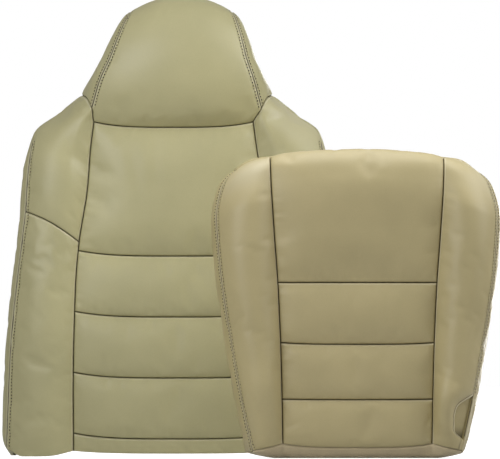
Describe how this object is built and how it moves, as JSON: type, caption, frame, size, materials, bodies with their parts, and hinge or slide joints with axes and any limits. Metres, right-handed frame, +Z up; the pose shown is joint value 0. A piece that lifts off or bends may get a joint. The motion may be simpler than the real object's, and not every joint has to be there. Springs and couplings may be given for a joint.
{
  "type": "seat cover set",
  "caption": "Two-piece padded leather cover set for a high-backed truck seat: a back cover with a built-in head dome, and a cushion cover with side bolsters and a side opening.",
  "frame": {"origin": "centre of the bounding box at the surface that both covers stand on", "axes": "+Z up, +X to the right as seen from the front, -Y towards the viewer"},
  "size_m": [0.8644, 0.3296, 0.8047],
  "materials": {
    "leather": "khaki tan leather on a foam backing, fine grain, soft sheen",
    "vinyl": "matching coated fabric on the rear, matte",
    "fabric": "tan woven tuck strip",
    "sleeve": "pale non-woven sleeve",
    "steel": "drawn wire",
    "plastic": "black extrusion",
    "tape": "black zip tape with coil",
    "slider_metal": "dull plated die casting"
  },
  "bodies": {
    "back_cover": {"head_front": "leather", "head_side_left": "leather", "head_side_right": "leather", "shoulder_left": "leather", "shoulder_right": "leather", "side_bolster_left": "leather", "side_bolster_right": "leather", "upper_insert": "leather", "back_pleat_top": "leather", "back_pleat_middle": "leather", "back_pleat_bottom": "leather", "hem_band": "leather", "back_gusset_left": "leather", "back_gusset_right": "leather", "rear_panel": "vinyl", "rear_head_panel": "vinyl", "back_listing_left_sleeve": "sleeve", "back_listing_right_sleeve": "sleeve", "back_listing_cross_sleeve": "sleeve", "back_listing_left_wire": "steel", "back_listing_right_wire": "steel", "back_listing_cross_wire": "steel", "back_hook_front": "plastic", "back_hook_rear": "plastic", "zip_tape_inner_left": "tape", "zip_tape_outer_left": "tape", "zip_tape_inner_right": "tape", "zip_tape_outer_right": "tape"},
    "seat_cover": {"seat_front_insert": "leather", "seat_pleat_front": "leather", "seat_pleat_middle": "leather", "seat_pleat_rear": "leather", "seat_bolster_left": "leather", "seat_bolster_right": "leather", "seat_gusset_left": "leather", "seat_gusset_right": "leather", "seat_front_boxing": "leather", "notch_binding": "leather", "notch_lining": "leather", "rear_tuck_strip": "fabric", "seat_listing_left_sleeve": "sleeve", "seat_listing_right_sleeve": "sleeve", "seat_listing_cross_sleeve": "sleeve", "seat_listing_left_wire": "steel", "seat_listing_right_wire": "steel", "seat_listing_cross_wire": "steel", "seat_hook_front": "plastic", "seat_hook_left": "plastic", "seat_hook_right": "plastic", "seat_hook_rear": "plastic"},
    "zip_slider_left": {"zip_slider_left": "slider_metal"},
    "zip_pull_left": {"zip_pull_left": "slider_metal"},
    "zip_slider_right": {"zip_slider_right": "slider_metal"},
    "zip_pull_right": {"zip_pull_right": "slider_metal"}
  },
  "joints": [
    {"name": "seat_cover_away", "type": "slide", "parent": "back_cover", "child": "seat_cover", "axis": [0, -1, 0], "range_m": [0, 0.5]},
    {"name": "zip_left_run", "type": "slide", "parent": "back_cover", "child": "zip_slider_left", "axis": [0, 0, 1], "range_m": [0, 0.215]},
    {"name": "zip_left_pull_swing", "type": "hinge", "parent": "zip_slider_left", "child": "zip_pull_left", "pos_m": [-0.31144, 0.16207, 0.042], "axis": [1, 0, 0], "range_deg": [0, 170]},
    {"name": "zip_right_run", "type": "slide", "parent": "back_cover", "child": "zip_slider_right", "axis": [0, 0, 1], "range_m": [0, 0.215]},
    {"name": "zip_right_pull_swing", "type": "hinge", "parent": "zip_slider_right", "child": "zip_pull_right", "pos_m": [0.05856, 0.16207, 0.042], "axis": [1, 0, 0], "range_deg": [0, 170]}
  ]
}
